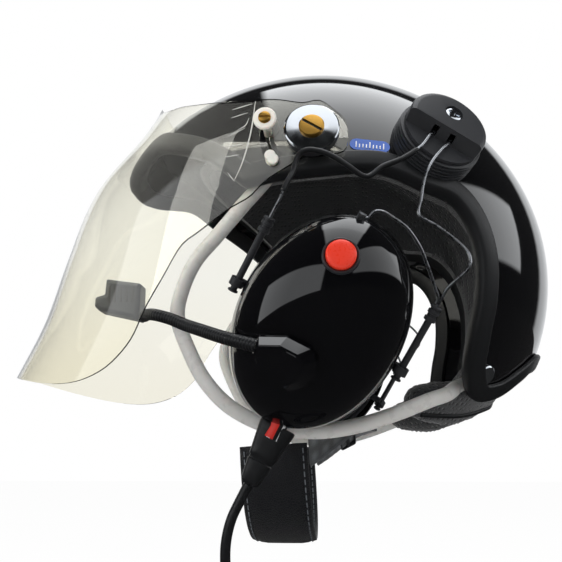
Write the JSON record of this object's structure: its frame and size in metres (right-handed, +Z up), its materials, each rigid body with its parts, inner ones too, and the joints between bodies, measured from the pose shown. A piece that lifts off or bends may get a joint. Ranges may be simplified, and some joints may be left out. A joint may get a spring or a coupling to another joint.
{
  "type": "paramotor helmet",
  "caption": "Open-face paramotor helmet with a bowed clear visor, wire-hung ear cups, tube hoops, a boom microphone and a padded chin strap.",
  "frame": {"origin": "crown of the head, on the inner face of the comfort lining", "axes": "-X is the front, -Y is the wearer's left, +Z is up"},
  "size_m": [0.3298, 0.305, 0.3463],
  "materials": {
    "shell_gloss": "glossy black lacquer",
    "polystyrene": "moulded foam",
    "lining_cloth": "brushed knit",
    "trim_rubber": "matt extruded",
    "visor_clear": "clear polycarbonate",
    "fitting_black": "satin moulded",
    "cup_gloss": "glossy moulded",
    "chrome": "polished",
    "steel_wire": "drawn wire",
    "brass": "turned",
    "white_nylon": "satin",
    "hoop_grey": "satin extruded tube",
    "cushion_leather": "soft grain",
    "button_red": "satin moulded",
    "webbing": "woven strap",
    "lead_rubber": "moulded"
  },
  "bodies": {
    "root": {"shell": "shell_gloss", "eps_liner": "polystyrene", "comfort_lining": "lining_cloth", "edge_trim": "trim_rubber", "neck_roll": "lining_cloth", "left_pivot_boss": "fitting_black", "left_pivot_washer": "fitting_black", "left_pivot_disc": "chrome", "left_pivot_screw": "brass", "left_visor_knob": "white_nylon", "left_hoop": "hoop_grey", "left_strap_rivet": "chrome", "left_puck_base": "fitting_black", "right_pivot_boss": "fitting_black", "right_pivot_washer": "fitting_black", "right_pivot_disc": "chrome", "right_pivot_screw": "brass", "right_visor_knob": "white_nylon", "right_hoop": "hoop_grey", "right_strap_rivet": "chrome", "right_puck_base": "fitting_black", "left_strap": "webbing", "right_strap": "webbing", "strap_pad": "cushion_leather", "strap_buckle": "fitting_black"},
    "visor": {"visor": "visor_clear", "left_slot_stop": "white_nylon", "right_slot_stop": "white_nylon"},
    "left_cap": {"left_puck_cap": "fitting_black", "left_puck_screw": "chrome"},
    "left_arm": {"left_front_wire": "steel_wire", "left_rear_wire": "steel_wire"},
    "left_cup": {"left_cup_shell": "cup_gloss", "left_cup_plate": "fitting_black", "left_ear_cushion": "cushion_leather", "left_speaker": "fitting_black", "left_front_sleeve": "fitting_black", "left_rear_sleeve": "fitting_black", "left_bail": "steel_wire", "button_bezel": "fitting_black", "lead_ring": "chrome", "lead_boot": "lead_rubber", "cord": "lead_rubber", "cord_coil": "lead_rubber", "plug": "lead_rubber"},
    "talk_button": {"talk_button": "button_red"},
    "boom": {"boom_housing": "cup_gloss", "boom_arm": "lead_rubber", "mic_head": "fitting_black"},
    "right_cap": {"right_puck_cap": "fitting_black", "right_puck_screw": "chrome"},
    "right_arm": {"right_front_wire": "steel_wire", "right_rear_wire": "steel_wire"},
    "right_cup": {"right_cup_shell": "cup_gloss", "right_cup_plate": "fitting_black", "right_ear_cushion": "cushion_leather", "right_speaker": "fitting_black", "right_front_sleeve": "fitting_black", "right_rear_sleeve": "fitting_black", "right_bail": "steel_wire"}
  },
  "joints": [
    {"name": "visor_pivot", "type": "hinge", "parent": "root", "child": "visor", "pos_m": [0.00081, 0, -0.04519], "axis": [0, 1, 0], "range_deg": [0, 28]},
    {"name": "left_cap_turn", "type": "hinge", "parent": "root", "child": "left_cap", "pos_m": [0.06847, -0.10114, -0.04161], "axis": [0.395, -0.846, 0.358], "range_deg": [-2, 1]},
    {"name": "left_arm_lift", "type": "hinge", "parent": "left_cap", "child": "left_arm", "pos_m": [0.06962, -0.10486, -0.04104], "axis": [-0.8473, -0.185, 0.4978], "range_deg": [-1, 1]},
    {"name": "left_cup_slide", "type": "slide", "parent": "left_arm", "child": "left_cup", "axis": [0.4866, -0.3422, 0.8038], "range_m": [0, 0.01]},
    {"name": "talk_button_press", "type": "slide", "parent": "left_cup", "child": "talk_button", "axis": [-0.0408, 0.9927, -0.1133], "range_m": [0, 0.002], "stiffness_N_per_m": 600},
    {"name": "boom_pivot", "type": "hinge", "parent": "left_cup", "child": "boom", "pos_m": [-0.00886, -0.13776, -0.16674], "axis": [-0.173, -0.8772, -0.4479], "range_deg": [-2, 22]},
    {"name": "right_cap_turn", "type": "hinge", "parent": "root", "child": "right_cap", "pos_m": [0.06847, 0.10114, -0.04161], "axis": [-0.395, -0.846, -0.358], "range_deg": [-2.5, 3]},
    {"name": "right_arm_lift", "type": "hinge", "parent": "right_cap", "child": "right_arm", "pos_m": [0.06962, 0.10486, -0.04104], "axis": [0.8473, -0.185, -0.4978], "range_deg": [-1, 25]},
    {"name": "right_cup_slide", "type": "slide", "parent": "right_arm", "child": "right_cup", "axis": [0.4866, 0.3422, 0.8038], "range_m": [0, 0.01]}
  ]
}
